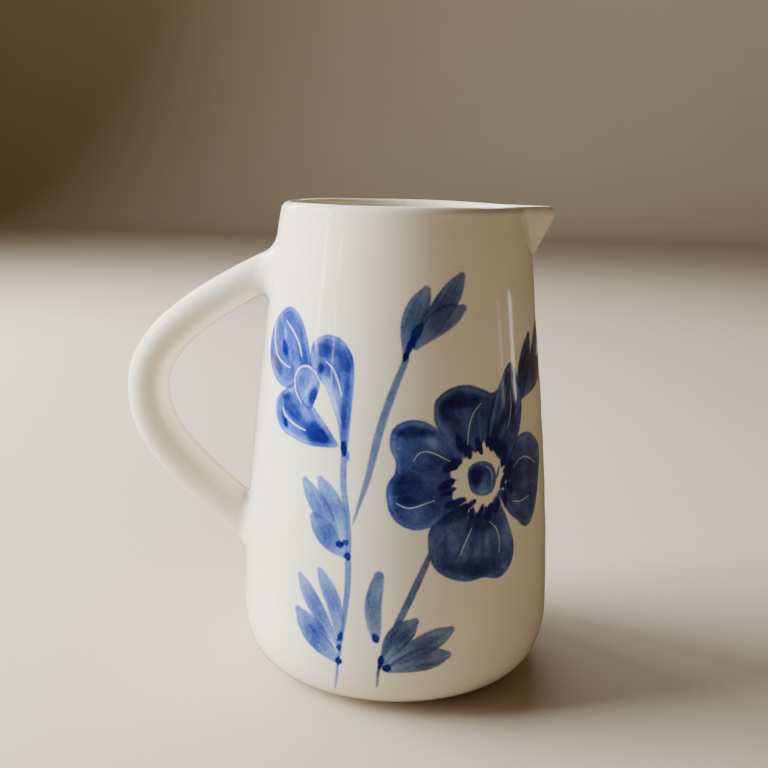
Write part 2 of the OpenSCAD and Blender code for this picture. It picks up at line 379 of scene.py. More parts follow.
def flared(base, normal, upper, turn):
    """The strap's points, pushed outwards near the wall so that they meet it in a fillet."""
    flank = np.abs(np.sin(turn))[None, :] ** 1.5
    at_upper = UPPER_FILLET[0] + (UPPER_FILLET[1] - UPPER_FILLET[0]) * flank
    at_lower = LOWER_FILLET[0] + (LOWER_FILLET[1] - LOWER_FILLET[0]) * flank
    fillet = np.where(upper[:, None], at_upper, at_lower)
    swell = np.zeros(base.shape[:2])
    # Pushing a point out changes its distance from the wall, so the swell is settled step by step
    for _ in range(14):
        inward = np.clip(fillet - off_wall(base + normal * swell[..., None]), 0, fillet)
        wanted = fillet - np.sqrt(fillet ** 2 - inward ** 2)
        swell = 0.5 * swell + 0.5 * wanted
    return base + normal * swell[..., None]


def make_handle(material):
    """An oval strap whose ends flare to meet the wall in a fillet, and stop just inside it."""
    samples, sides, rings = 700, 72, 190
    s = np.linspace(0, 2, samples)
    turn = np.linspace(0, 2 * math.pi, sides, endpoint=False)
    surface = flared(*strap(s, turn), s < 1, turn)
    within = off_wall(surface) < -ROOT_DEPTH
    middle = samples // 2
    spread = 0.5 - 0.5 * np.cos(np.linspace(0, math.pi, rings))
    columns = []
    # Each line along the strap is cut off inside the wall, and its points crowd towards both ends
    for j in range(sides):
        start = middle - np.argmax(within[middle::-1, j])
        end = middle + np.argmax(within[middle:, j])
        at = s[start] + (s[end] - s[start]) * spread
        columns.append(np.stack([np.interp(at, s, surface[:, j, k]) for k in range(3)], -1))
    points = np.stack(columns, 1)
    flat = np.vstack([points.reshape(-1, 3), points[0].mean(0), points[-1].mean(0)])
    n = rings * sides
    faces = grid_faces(rings, sides) + cap(0, sides, n, True) + cap((rings - 1) * sides, sides, n + 1, False)
    return make_object("handle_loop", flat, faces, [material])


def make_foot(material):
    """The bare ring, with its edges rubbed round."""
    inner, top = FOOT_R - FOOT_W, UNDERSIDE_Z + 0.3
    turn = np.linspace(0, math.pi / 2, 7)
    short, long = FOOT_SOFT * (1 - np.cos(turn)), FOOT_SOFT * (1 - np.sin(turn))
    section = np.vstack([(inner, top),
                         np.stack([inner + short, long], 1),
                         np.stack([FOOT_R - long, short], 1),
                         (FOOT_R, top)])
    cols = 240
    phi = np.linspace(0, 2 * math.pi, cols, endpoint=False)
    x = section[:, 0][:, None] * np.sin(phi)
    y = -section[:, 0][:, None] * np.cos(phi)
    z = np.broadcast_to(section[:, 1][:, None], x.shape)
    points = np.stack([x, y, z], -1).reshape(-1, 3)
    rows = len(section)
    last = (rows - 1) * cols
    loop = [[last + j, last + (j + 1) % cols, (j + 1) % cols, j] for j in range(cols)]
    return make_object("bare_foot", points, grid_faces(rows, cols) + loop, [material])


# ---------------------------------------------------------------------------
# The painting, as fields over the outside's points
# ---------------------------------------------------------------------------
class Painting:
    """Holds, at each point: edge, how far it is inside the paint; tone, how dark the paint is; cobalt,
    its share of clear cobalt over greyer slate, the slate partly the ink's own mix and partly painted
    shade; and the nearest scratched line's sideways distance and its nearness."""

    def __init__(self, s, z):
        self.s, self.z = s, z
        self.edge = np.full(len(s), -4.0)
        self.tone = np.zeros(len(s))
        self.cobalt = np.zeros(len(s))
        self.cobalt_share = 1.0    # the brush's share of clear cobalt, from slate at 0 to cobalt at 1; the slate is partly painted shade
        self.line_side = np.full(len(s), 2.0)
        self.line_near = np.zeros(len(s))
        self.seed = 1

    def near(self, points, margin):
        """Which of the outside's points lie in the box round the given ones."""
        low, high = points.min(0) - margin, points.max(0) + margin
        return np.nonzero((self.s > low[0]) & (self.s < high[0]) & (self.z > low[1]) & (self.z < high[1]))[0]

    def to_curve(self, at, curve):
        """Distance to a curve, the side it is on, and the share of the curve's length passed."""
        p = np.stack([self.s[at], self.z[at]], 1)
        a, b = curve[:-1], curve[1:]
        ab = b - a
        length = np.linalg.norm(ab, axis=1)
        ap = p[:, None, :] - a[None]
        t = np.clip((ap * ab).sum(2) / np.maximum(length ** 2, 1e-9), 0, 1)
        gap = ap - ab[None] * t[..., None]
        distance = np.hypot(gap[..., 0], gap[..., 1])
        k = distance.argmin(1)
        rows = np.arange(len(at))
        side = (ab[k, 0] * ap[rows, k, 1] - ab[k, 1] * ap[rows, k, 0]) / np.maximum(length[k], 1e-9)
        passed = np.concatenate([[0], np.cumsum(length)])
        return distance[rows, k], side, (passed[k] + t[rows, k] * length[k]) / passed[-1]

    def inside(self, at, outline):
        """Whether each point is inside a closed outline."""
        x, y = self.s[at][:, None], self.z[at][:, None]
        a, b = outline, np.roll(outline, -1, axis=0)
        crosses = (a[:, 1] > y) != (b[:, 1] > y)
        slope = (b[:, 0] - a[:, 0]) / np.where(b[:, 1] == a[:, 1], 1e-9, b[:, 1] - a[:, 1])
        return (crosses & (x < a[:, 0] + slope * (y - a[:, 1]))).sum(1) % 2 == 1

    def lay(self, at, depth, tone, over=False, cobalt_share=None):
        """Adds a wash: depth is the distance inside its edge, and tone its darkness. over hides the wash
        that it covers, and the last argument stands in for the brush's share of clear cobalt over greyer
        slate, the slate partly the ink's own mix and partly painted shade."""
        wet = smoothstep(-0.35, 0.25, depth)
        seam = 0.13 * np.exp(-(depth / 0.45) ** 2) * smoothstep(0.2, 0.9, self.edge[at])
        old = self.tone[at] * smoothstep(-0.3, 0.2, self.edge[at])
        both = tone if over else np.maximum(tone, old) + 0.10 * np.minimum(tone, old)
        grown = np.where(old > 0.01, old + (both - old) * wet, tone)
        self.tone[at] = np.where(depth > -1.2, grown, self.tone[at]) + seam
        blue = self.cobalt_share if cobalt_share is None else cobalt_share
        # Moves each point towards the brush's cobalt share; its slate end is partly painted shade
        self.cobalt[at] += (blue - self.cobalt[at]) * smoothstep(-0.9, 0.0, depth)
        self.edge[at] = np.maximum(self.edge[at], depth)

    def ribbon(self, points, widths, tone, streak=0.07, heart=0.0, tail=0.0, cobalt_share=None):
        """A brush stroke along points, as wide as widths says at equal shares of its length.
        heart darkens its middle, and tail its far end."""
        self.seed += 1
        curve = spline(points, per=9)
        at = self.near(curve, max(widths) / 2 + 2)
        distance, side, share = self.to_curve(at, curve)
        half = np.interp(share, np.linspace(0, 1, len(widths)), widths) / 2
        strands = value_noise(side / 0.7 + 40, share * 3.0, self.seed) - 0.5
        strands += 0.5 * (value_noise(side / 0.35 + 90, share * 5.0, self.seed + 50) - 0.5)
        lean = 0.35 * (value_noise(np.array([0.5]), np.array([0.5]), self.seed)[0] - 0.5)
        across = np.clip(side / half - lean, -1.4, 1.4)
        core = smoothstep(0.05, 0.45, share) * smoothstep(0.95, 0.45, share) * (1 - 0.5 * across ** 2)
        shade = tone + heart * core + tail * smoothstep(0.45, 1.0, share) + 2 * streak * strands
        self.lay(at, half - distance, shade, cobalt_share=cobalt_share)

    def dab(self, centre, radius, tone):
        """A round touch of the brush's tip, in pure blue."""
        centre = np.array(centre, float)
        at = self.near(centre[None, :], radius + 2)
        ds, dz = self.s[at] - centre[0], self.z[at] - centre[1]
        self.lay(at, radius - np.hypot(ds, dz), tone + np.zeros(len(at)), cobalt_share=1.0)

    def leaf(self, tip, base, width, tone, bend, heart=0.14):
        """A leaf pressed from its blunt tip and drawn out to its base. bend bows it to the left."""
        tip, base = np.array(tip, float), np.array(base, float)
        way = base - tip
        long = np.linalg.norm(way)
        left = np.array([-way[1], way[0]]) / long
        tip = tip + way / long * width * 0.20
        middle = (tip + base) / 2 + left * bend
        shape = width * np.array([0.40, 0.72, 0.92, 1.02, 1.07, 1.07, 1.02, 0.93, 0.80, 0.64, 0.47, 0.32])
        self.ribbon([tip, middle, base], shape, tone + 0.07, heart=heart, tail=-0.08)

    def touch(self, start, end, width, tone):
        """A short fat stroke in pure blue, round at start and drawn out at end."""
        middle = (np.array(start) + np.array(end)) / 2
        shape = width * np.array([0.7, 0.95, 1.0, 0.97, 0.85, 0.6])
        self.ribbon([start, middle, end], shape, tone, streak=0.02, cobalt_share=1.0)

    def petal(self, outline, centre, tone, streak=0.05, rim=0.0, over=False):
        """A filled petal, streaked along the lines that run out from centre. rim darkens its border, or
        lightens it, and over covers what is under it."""
        self.seed += 1
        curve = spline(outline, closed=True, per=8)
        at = self.near(curve, 3)
        distance = self.to_curve(at, np.vstack([curve, curve[:1]]))[0]
        depth = np.where(self.inside(at, curve), distance, -distance)
        ds, dz = self.s[at] - centre[0], self.z[at] - centre[1]
        out, turn = np.hypot(ds, dz), np.arctan2(dz, ds)
        strands = value_noise(turn * 14 + 60, out / 9.0, self.seed) - 0.5
        strands += 0.6 * (value_noise(turn * 34 + 60, out / 6.0, self.seed + 30) - 0.5)
        clouds = value_noise(self.s[at] / 6.0 + 30, self.z[at] / 6.0, self.seed + 60) - 0.5
        band = 1.0 + 1.7 * value_noise(self.s[at] / 7.0 + 30, self.z[at] / 7.0, self.seed + 90)
        border = smoothstep(band + 0.45, band - 0.45, depth)
        line = smoothstep(0.9, 0.3, depth)
        shade = tone + 2 * streak * strands + 0.14 * clouds + rim * (border - 0.4 * line)
        self.lay(at, depth, shade, over)

    def soak(self, centre, radius, amount, stretch=(1.0, 1.0), turn=0.0):
        """Darkens, or lightens, a soft spot that is already painted."""
        angle = math.radians(turn)
        ds, dz = self.s - centre[0], self.z - centre[1]
        a = (ds * math.cos(angle) + dz * math.sin(angle)) / stretch[0]
        b = (-ds * math.sin(angle) + dz * math.cos(angle)) / stretch[1]
        self.tone += amount * smoothstep(radius, radius * 0.45, np.hypot(a, b)) * (self.edge > -1)

    def scratch(self, points, width):
        """A thin line scratched through the paint to the pale ground."""
        curve = spline(points, per=9)
        at = self.near(curve, 3)
        distance, side, share = self.to_curve(at, curve)
        taper = 0.45 + 0.55 * np.sin(math.pi * np.clip(share, 0.04, 0.96)) ** 0.6
        beyond = np.sqrt(np.maximum(distance ** 2 - side ** 2, 0)) * ((share <= 0) | (share >= 1))
        side = side * 0.5 / (width * taper)
        nearness = smoothstep(1.8, 0.8, distance) * smoothstep(0.6, 0.0, beyond)
        closer = nearness > self.line_near[at]
        self.line_near[at] = np.where(closer, nearness, self.line_near[at])
        self.line_side[at] = np.where(closer, side, self.line_side[at])


def paint_bud(art):
    """The half-open flower at the left, and its stem."""
    heart = (-33, 113)
    art.cobalt_share = 1.0
    art.petal([(-45.9, 143.8), (-40.7, 142.8), (-37.1, 139.3), (-34.8, 134.5), (-33.1, 128.9), (-32.6, 124),
               (-36.5, 120), (-42.5, 115.6), (-47, 115.5), (-52.4, 117.2), (-57, 120.9), (-59.8, 126.4),
               (-58.2, 133.1), (-53.5, 139.4)], heart, 0.70, rim=-0.12)
    art.petal([(-33, 124.5), (-32.9, 131.2), (-30.9, 134.2), (-26.5, 136.3), (-21.5, 135.9), (-18.3, 133.3),
               (-16, 129.2), (-15.6, 124), (-15.8, 116.9), (-16.6, 107.9), (-17.6, 98), (-20.0, 98.6),
               (-21.2, 105.6), (-23.3, 111.5), (-26, 117.6), (-28.2, 120.2), (-30.5, 122)], (-19, 80), 0.58,
              streak=0.08, rim=-0.14)
    art.petal([(-43.5, 116.2), (-49, 113), (-51.6, 109.1), (-50.8, 104.4), (-46.7, 100.3), (-39.6, 98.4),
               (-31.2, 97.4), (-21.3, 98.6), (-22.6, 101.8), (-27, 107), (-31.1, 111.2), (-34, 116),
               (-38, 119)], (-20, 97), 0.66, rim=-0.16)
    art.petal([(-35.4, 124.3), (-31.5, 124.1), (-28.7, 121.2), (-29, 117.2), (-31.3, 111.5), (-34, 110.8),
               (-37, 112.8), (-40.1, 117.1), (-39.5, 121.6)], heart, 0.58, over=True)
    for spot, radius, amount, stretch, turn in (
            ((-47.0, 129.2), 2.9, 0.24, (0.75, 1.35), 25), ((-47.1, 134), 2.2, -0.16, (0.7, 1.3), 10),
            ((-51.8, 122.6), 4.2, 0.18, (0.7, 1.3), 45), ((-50.5, 134), 4.5, 0.08, (0.5, 1.5), -15),
            ((-43.5, 126.5), 2.6, -0.10, (0.5, 1.4), 10), ((-39.5, 123), 3.4, -0.12, (0.7, 1.2), 20),
            ((-36, 131), 5, 0.06, (0.5, 1.5), 15), ((-27.5, 130.8), 6.4, 0.20, (1.2, 0.5), -4),
            ((-18.2, 128.8), 5.2, 0.22, (0.8, 1.1), 0), ((-28.6, 124.6), 2.0, 0.26, (0.8, 1.3), 0),
            ((-25.8, 124.4), 3.0, 0.14, (1.0, 1.2), 0), ((-18.4, 112), 12, 0.20, (0.2, 1.3), -4),
            ((-24.6, 117.5), 6.5, -0.22, (0.4, 1.3), 22), ((-21.6, 109), 5, -0.16, (0.3, 1.4), 12),
            ((-31.6, 114.6), 3.4, 0.30, (0.7, 1.3), -25), ((-33.6, 117.2), 3.4, -0.14, (0.3, 1.4), -28),
            ((-37, 119.5), 2.6, 0.10, (0.8, 1.2), 0), ((-30, 101.8), 6.6, 0.26, (1.2, 0.75), -20),
            ((-44.6, 103.4), 1.5, 0.42, (0.8, 1.4), 20), ((-46.2, 104.5), 2.8, 0.20, (0.4, 1.5), 35),
            ((-41.5, 108.5), 6, 0.14, (0.6, 1.3), 55), ((-45.5, 113), 3.4, 0.18, (1.2, 0.7), 0),
            ((-34.5, 108), 3.5, -0.12, (0.6, 1.4), 40)):
        art.soak(spot, radius, amount, stretch, turn)
    art.cobalt_share = 0.5
    art.ribbon([(-18.6, 99.5), (-18.8, 86), (-17, 73), (-16.5, 58), (-17, 45), (-19, 28), (-21, 9.5)],
               [2.6, 2.5, 2.4, 2.4, 2.1, 1.5, 0.7], 0.47, streak=0.05)
    art.touch((-19.3, 99.6), (-18.9, 96.5), 2.2, 0.84)
    art.touch((-17.4, 97.4), (-17.2, 94.4), 1.4, 0.50)
    for line in ([(-46.5, 138.7), (-42.0, 135.4), (-38.9, 131.8), (-37.4, 127.7)],
                 [(-53.9, 138.8), (-55.2, 131.7), (-52.5, 126.1), (-47.6, 123.6), (-43.3, 122.8)],
                 [(-26.3, 127.2), (-23.7, 125.0), (-21.6, 121.0), (-20.1, 116.1)],
                 [(-36.8, 111.5), (-39.9, 115.5), (-40.4, 120), (-38.3, 123.4), (-34.5, 124.6), (-31, 123),
                  (-28.6, 119.5)],
                 [(-46.9, 108.5), (-45.1, 105.9), (-39.8, 103.5), (-34.6, 102.4)]):
        art.scratch(line, 0.62)


def paint_small_leaves(art):
    """The leaves in threes on the main stem, the upper sprig and the lone leaf."""
    art.cobalt_share = 0.6
    art.leaf((-28.3, 87.6), (-18.1, 66.5), 7.0, tone=0.33, bend=1.2)
    art.leaf((-35.1, 86.1), (-20.3, 65.0), 6.8, tone=0.37, bend=0.4)
    art.leaf((-31.6, 73.8), (-17.0, 60.8), 7.6, tone=0.39, bend=-0.6, heart=0.20)
    art.touch((-20.3, 64.8), (-18.8, 65.0), 2.5, 0.80)
    art.touch((-18.2, 65.3), (-17.2, 66.0), 2.1, 0.74)
    art.dab((-16.8, 60.9), 1.2, 0.80)
    art.leaf((-27.7, 55.3), (-19.4, 30.5), 5.8, tone=0.35, bend=1.9)
    art.leaf((-36.4, 51.6), (-20.5, 28.8), 6.2, tone=0.37, bend=0.0)
    art.leaf((-37.6, 38.6), (-19.8, 22.0), 9.0, tone=0.39, bend=-0.5, heart=0.24)
    art.touch((-18.6, 32.4), (-19.8, 29.9), 1.7, 0.78)
    art.dab((-19.6, 27.3), 1.15, 0.80)
    art.dab((-19.4, 22.0), 1.35, 0.80)
    art.cobalt_share = 0.1
    art.leaf((8.6, 154.2), (1.8, 131), 7.6, tone=0.40, bend=-1.2)
    art.leaf((21.4, 158.4), (5.2, 134), 7.8, tone=0.42, bend=0.2)
    art.leaf((22.4, 147.4), (5.0, 134.0), 7.6, tone=0.36, bend=-1.4)
    art.touch((6.2, 140.4), (4.2, 136.4), 2.7, 0.82)
    art.touch((4.2, 136.0), (2.6, 132.6), 2.3, 0.84)
    art.touch((2.2, 131.4), (1.2, 129.4), 2.2, 0.86)
    art.ribbon([(2, 130), (-2.5, 118), (-6.5, 105), (-10.3, 88.5), (-15, 73)],
               [2.2, 2.9, 3.0, 2.2, 0.8], 0.47, streak=0.05)
    art.ribbon([(-5.6, 55.0), (-7.4, 44), (-6.2, 32)],
               [3.6, 5.2, 5.9, 6.1, 5.8, 4.9, 3.0], 0.42, heart=0.06, tail=-0.08)
    art.touch((-6.6, 33.0), (-5.8, 31.2), 2.6, 0.80)
    art.cobalt_share = 0.0
    art.ribbon([(12.5, 64), (6.6, 50), (2.6, 41), (-1, 32.5), (-4.6, 23.0), (-5.6, 13.2)],
               [2.0, 2.7, 2.7, 2.5, 1.7, 0.7], 0.52, streak=0.05)
    art.leaf((8.0, 40.0), (-3.5, 23.7), 8.0, tone=0.43, bend=-1.2, heart=0.20)
    art.leaf((21.6, 35.4), (-1.2, 22.8), 7.6, tone=0.36, bend=-0.6)
    art.leaf((20.8, 25.8), (-1.5, 20.6), 8.0, tone=0.36, bend=-1.0)
    art.touch((-4.5, 25.4), (-4.5, 21.4), 2.0, 0.84)
    art.dab((-2.5, 21.3), 1.55, 0.82)


def paint_edge_sprig(art):
    """The three leaves that wrap round towards the spout."""
    art.cobalt_share = 0.3
    art.leaf((71, 139), (53, 115), 7.2, tone=0.52, bend=0.6)
    art.leaf((74.5, 123.0), (52, 114), 9.6, tone=0.50, bend=-1.6)
    art.leaf((57.6, 135.6), (49, 111), 8.0, tone=0.58, bend=-0.6, heart=0.24)


def paint_big_flower(art):
    """Five petals round a dark eye in a ring of bare glaze."""
    eye = np.array([30.7, 87.4])
    art.cobalt_share = 0.4
    art.petal([(42, 95), (46.6, 99.1), (54.2, 100.2), (61.9, 97.1), (68.1, 91), (66.8, 80.8), (63.5, 71.7),
               (60.5, 67.2), (56.6, 65.4), (53, 66.2), (49.5, 69), (45.1, 72.2), (41, 77), (38, 84)],
              eye, 0.69, rim=-0.10)
    art.petal([(13.5, 77), (11.4, 71.5), (10.9, 68.5), (11.6, 62), (14.2, 56.9), (19.4, 53.4), (26, 51.5),
               (32.9, 51.8), (36.5, 50.8), (40.8, 50.3), (45.8, 53.5), (47.5, 60.4), (45.3, 67.1), (41, 75.5),
               (36, 84), (22, 86)], eye, 0.65, rim=-0.08)
    art.petal([(15.4, 103.3), (12.4, 108), (11.8, 112), (12.5, 116.2), (17.4, 119.8), (23.7, 120.7),
               (29.4, 119), (34.4, 117), (39, 117.6), (38, 100), (31, 93), (25, 94)], eye, 0.70, rim=-0.13)
    art.petal([(34.4, 112), (37.2, 118.3), (40.5, 124.2), (44, 126.4), (48.3, 120), (51, 110.5),
               (49.8, 101.8), (46, 95.6), (41, 90), (36, 90), (33, 100)],
              eye, 0.73, streak=0.12, rim=-0.08, over=True)
    art.cobalt_share = 0.6
    art.petal([(22, 97.5), (17.9, 102), (13.8, 105.7), (9.3, 108.7), (4.5, 109.5), (-0.2, 108), (-2.7, 104.8),
               (-2.8, 99.6), (-0.9, 95.2), (-1.2, 91), (-3.1, 88), (-3.9, 84.1), (-2.8, 78.3), (0.1, 74),
               (5, 71.6), (10.3, 71.8), (15.5, 74.5), (24, 81.5), (24, 90)], eye, 0.66, rim=-0.11, over=True)
    for spot, radius, amount, stretch, turn in (
            ((4.2, 105.2), 7.0, 0.20, (1.0, 0.36), 2), ((9.6, 104.6), 2.5, 0.14, (1.5, 0.8), 0),
            ((3.0, 87), 7.5, 0.14, (1.0, 0.9), 0), ((4.0, 81.6), 3.6, 0.16, (1.4, 0.6), -8),
            ((-0.5, 99), 3.2, -0.08, (0.6, 1.6), 0), ((7.5, 99.5), 5.5, -0.05, (1.4, 0.6), 0),
            ((13, 101), 4.5, -0.12, (1.5, 0.5), -35), ((15, 90.5), 5, -0.06, (1.2, 0.8), 0),
            ((10, 76), 6, -0.05, (1.3, 0.5), 0), ((22, 115.3), 7.0, 0.18, (1.3, 0.45), 0),
            ((16.5, 112), 4.5, 0.14, (0.8, 1.2), 0), ((20.5, 106), 4.5, 0.08, (0.5, 1.6), 20),
            ((30, 108), 5, -0.06, (0.6, 1.5), -10), ((16.5, 104.5), 5, -0.12, (0.3, 1.6), 33),
            ((37.5, 98), 4.4, 0.16, (1.0, 0.8), 0), ((41.5, 93.5), 4.0, 0.14, (0.6, 1.5), 0),
            ((45.5, 112), 8, 0.14, (0.25, 1.5), 5), ((37, 112), 8, -0.08, (0.3, 1.5), 0),
            ((29, 56.3), 11, 0.12, (1.5, 0.4), -4), ((20, 66.5), 4.4, -0.14, (0.7, 1.3), 10),
            ((30, 62), 6, -0.08, (0.3, 1.3), 0), ((34, 63), 5, -0.08, (0.3, 1.3), 0),
            ((25, 62.5), 4, -0.08, (0.5, 1.3), 0), ((43.5, 66), 5.5, -0.10, (0.6, 1.4), 10),
            ((15, 68), 4, -0.06, (0.5, 1.3), 0),
            ((21, 76.5), 5.5, 0.16, (1.5, 0.7), 20), ((31, 72), 6, 0.12, (1.5, 0.7), 0),
            ((53, 97), 5.5, -0.10, (1.4, 0.5), 0), ((65, 85), 5, -0.06, (0.5, 2.2), -8),
            ((47, 86), 5, 0.10, (0.6, 1.5), 0), ((58, 84), 7, 0.08, (0.5, 1.5), 0),
            ((48, 76), 4.5, -0.08, (0.7, 1.3), 30)):
        art.soak(spot, radius, amount, stretch, turn)
    clear_eye(art, eye)
    dab_eye(art)
    for line in ([(5.1, 95.3), (7.4, 98.2), (11.5, 98.2), (18.2, 94.8)],
                 [(-0.3, 80.8), (4.5, 79.2), (13.1, 81.7)],
                 [(29.8, 114), (27.2, 111.6), (25.3, 107.5), (24.5, 100)],
                 [(43.8, 117), (44.2, 110), (42.8, 103.5)],
                 [(46.3, 88.8), (49.5, 91.2), (54.5, 91.2), (62.5, 87.3)],
                 [(46.5, 76.8), (51, 75.8), (57.1, 76.4)],
                 [(27.3, 70.7), (25.2, 66.5), (22.8, 61.3)],
                 [(34.9, 71.6), (38, 68.6), (39.6, 64.5), (39.6, 59.5)]):
        art.scratch(line, 0.42)


def clear_eye(art, eye):
    """Wipes the ring round the eye back to bare glaze, with a ragged edge, and paints the eye."""
    ds, dz = art.s - eye[0], art.z - eye[1]
    out, turn = np.hypot(ds, dz), np.arctan2(dz, ds)
    rays = value_noise(turn * 8.5 + 20, out / 9, 5) ** 1.5
    frayed = value_noise(turn * 21 + 20, out / 8, 8) - 0.5
    ragged = 9.4 + 0.6 * np.cos(turn - 2.4) + 3.6 * rays + 1.2 * frayed
    art.edge = np.minimum(art.edge, np.where(out < 20, 0.7 * (out - ragged), 40.0))
    outline = [(25, 88.5), (25.3, 92), (28.8, 93.8), (33.3, 93.1), (36.3, 90.4), (37.2, 85.8), (35.3, 82.1),
               (30.6, 81.5), (26.6, 83.7)]
    art.petal(outline, eye + (2, -3), 0.68, streak=0.04, rim=-0.14, over=True)
    art.soak((28.2, 88.6), 4.2, 0.24, (0.9, 1.1))
    art.soak((31.5, 84), 3, -0.12)
    art.scratch([(32.5, 91.8), (34.9, 89.5), (35.2, 86.5)], 0.26)


def dab_eye(art):
    """Short dark touches of the brush round the ring, from the ring outwards."""
    for start, end, width in (((25.6, 96.0), (23.8, 100.0), 3.0), ((30.3, 96.6), (28.4, 101.2), 2.2),
                              ((22.0, 98.8), (20.8, 103.5), 1.9), ((21.6, 94.6), (16.7, 92.4), 3.4),
                              ((19.2, 87.6), (15.3, 86.0), 2.8), ((19.6, 84.4), (15.8, 83.4), 1.1),
                              ((23.8, 81.0), (17.6, 79.6), 2.8), ((28.0, 80.0), (24.0, 77.6), 2.4),
                              ((31.6, 78.2), (29.4, 74.6), 1.5), ((35.0, 77.6), (33.6, 73.8), 2.7),
                              ((38.2, 78.6), (37.4, 75.0), 2.3), ((41.4, 80.2), (42.2, 76.0), 2.0),
                              ((40.0, 83.2), (41.8, 87.6), 2.6), ((42.8, 86.6), (44.4, 90.6), 3.6),
                              ((40.0, 91.0), (40.4, 96.6), 2.6), ((39.0, 96.4), (33.6, 100.2), 3.8),
                              ((45.4, 80.4), (43.6, 83.6), 1.6), ((26.2, 77.4), (27.0, 74.2), 1.2),
                              ((37.6, 87.0), (38.4, 90.6), 1.0), ((34.6, 96.8), (33.0, 101.0), 1.4)):
        art.touch(start, end, width, 0.86)


def paint(piece, s, z, outer):
    """Works the painting out on the outside's points, and writes its fields on the mesh."""
    art = Painting(s[outer], z[outer])
    # Each motif sets the brush's cobalt share: the ones towards the spout, away from the window lamp, take
    # more slate, partly as painted shade
    paint_bud(art)
    paint_small_leaves(art)
    paint_edge_sprig(art)
    paint_big_flower(art)
    for name, values, blank in (("edge", art.edge, -4.0), ("tone", art.tone, 0.0),
                                ("cobalt", art.cobalt, 0.0), ("line_side", art.line_side, 2.0),
                                ("line_near", art.line_near, 0.0)):
        field = np.full(len(s), blank, np.float32)
        field[outer] = values
        piece.data.attributes.new(name, "FLOAT", "POINT").data.foreach_set("value", field)


# ---------------------------------------------------------------------------
# Materials
# ---------------------------------------------------------------------------
class Nodes:
    """Short calls for building a material's node tree."""

    def __init__(self, name):
        self.material = bpy.data.materials.new(name)
        self.material.use_nodes = True
        self.tree = self.material.node_tree
        self.shader = self.tree.nodes["Principled BSDF"]

    def add(self, kind, inputs=None, **settings):
        """A node with these settings, and with its inputs set to values or joined to sockets."""
        node = self.tree.nodes.new(kind)
        for key, value in settings.items():
            setattr(node, key, value)
        for key, value in (inputs or {}).items():
            self.set(node.inputs[key], value)
        return node

    def set(self, socket, value):
        if isinstance(value, bpy.types.NodeSocket):
            self.tree.links.new(value, socket)
        else:
            socket.default_value = value

    def math(self, operation, a, b=0.0, clamp=False):
        node = self.add("ShaderNodeMath", {0: a, 1: b}, operation=operation, use_clamp=clamp)
        return node.outputs[0]

    def span(self, value, low, high, out_low=0.0, out_high=1.0):
        """Takes low to high smoothly to out_low to out_high, and holds those beyond."""
        node = self.add("ShaderNodeMapRange", {0: value, 1: low, 2: high, 3: out_low, 4: out_high},
                        interpolation_type="SMOOTHSTEP")
        return node.outputs[0]

    def noise(self, vector, scale, detail=2.0, roughness=0.5):
        node = self.add("ShaderNodeTexNoise", {"Vector": vector, "Scale": scale, "Detail": detail,
                                               "Roughness": roughness})
        return node.outputs[0]

    def flutter(self, vector, scale, amount, detail, roughness=0.5):
        """Noise about zero, as tall as amount from its lowest to its highest."""
        noise = self.noise(vector, scale, detail, roughness)
        return self.math("MULTIPLY", self.math("SUBTRACT", noise, 0.5), amount)

    def mix(self, share, a, b):
        node = self.add("ShaderNodeMix", data_type="RGBA")
        self.set(node.inputs[0], share)
        self.set(node.inputs[6], a)
        self.set(node.inputs[7], b)
        return node.outputs[2]

    def field(self, name):
        return self.add("ShaderNodeAttribute", attribute_name=name).outputs["Fac"]

    def place(self):
        return self.add("ShaderNodeTexCoord").outputs["Object"]

    def ramp(self, value, stops):
        node = self.add("ShaderNodeValToRGB", {0: value})
        elements = node.color_ramp.elements
        while len(elements) < len(stops):
            elements.new(0.5)
        for element, (position, colour) in zip(elements, stops):
            element.position = position
            element.color = (*colour, 1.0)
        return node.outputs[0]


CREAM = (0.83, 0.745, 0.575)
CREAM_COOL = (0.84, 0.765, 0.615)
IRON_SPECK = (0.16, 0.11, 0.07)
SCRATCHED = (0.56, 0.63, 0.66)
CLAY_STAINED = (0.60, 0.49, 0.37)
CLAY_PALE = (0.70, 0.61, 0.49)
CLAY_GRAIN = (0.34, 0.25, 0.17)
FLOOR_DEEP = (0.56, 0.465, 0.345)
FLOOR_PALE = (0.60, 0.505, 0.38)

# The ink's colour from the thinnest wash at 0 to the thickest at 1, in clear cobalt and in a greyer, darker
# slate. The slate is partly the ink's own mix and partly painted shade, for the side away from the window
# lamp.
COBALT = [(0.00, (0.52, 0.60, 0.68)), (0.20, (0.30, 0.41, 0.64)), (0.40, (0.135, 0.215, 0.560)),
          (0.58, (0.058, 0.092, 0.380)), (0.76, (0.020, 0.035, 0.210)), (0.90, (0.006, 0.012, 0.130)),
          (1.00, (0.003, 0.007, 0.090))]
# Partly painted shade: the greyer, darker slate that the motifs away from the window lamp are inked in
SLATE_AND_SHADE = [(0.00, (0.52, 0.58, 0.62)), (0.20, (0.34, 0.41, 0.50)), (0.40, (0.165, 0.220, 0.345)),
         (0.58, (0.070, 0.105, 0.225)), (0.76, (0.020, 0.036, 0.110)), (0.90, (0.006, 0.013, 0.055)),
         (1.00, (0.003, 0.007, 0.035))]


def glaze_ground(n, place):
    """Cream glaze with a faint drift of colour, and a few specks of iron and pinholes."""
    drift = n.noise(place, 26, 3)
    ground = n.mix(n.span(drift, 0.35, 0.65), (*CREAM, 1), (*CREAM_COOL, 1))
    cells = n.add("ShaderNodeTexVoronoi", {"Vector": place, "Scale": 95.0, "Randomness": 1.0})
    chance = n.add("ShaderNodeSeparateColor", {0: cells.outputs["Color"]}).outputs[0]
    size = n.span(chance, 0.93, 1.0, 0.0, 0.055)
    speck = n.math("MULTIPLY", n.math("LESS_THAN", cells.outputs["Distance"], size), 0.55)
    return n.mix(speck, ground, (*IRON_SPECK, 1))


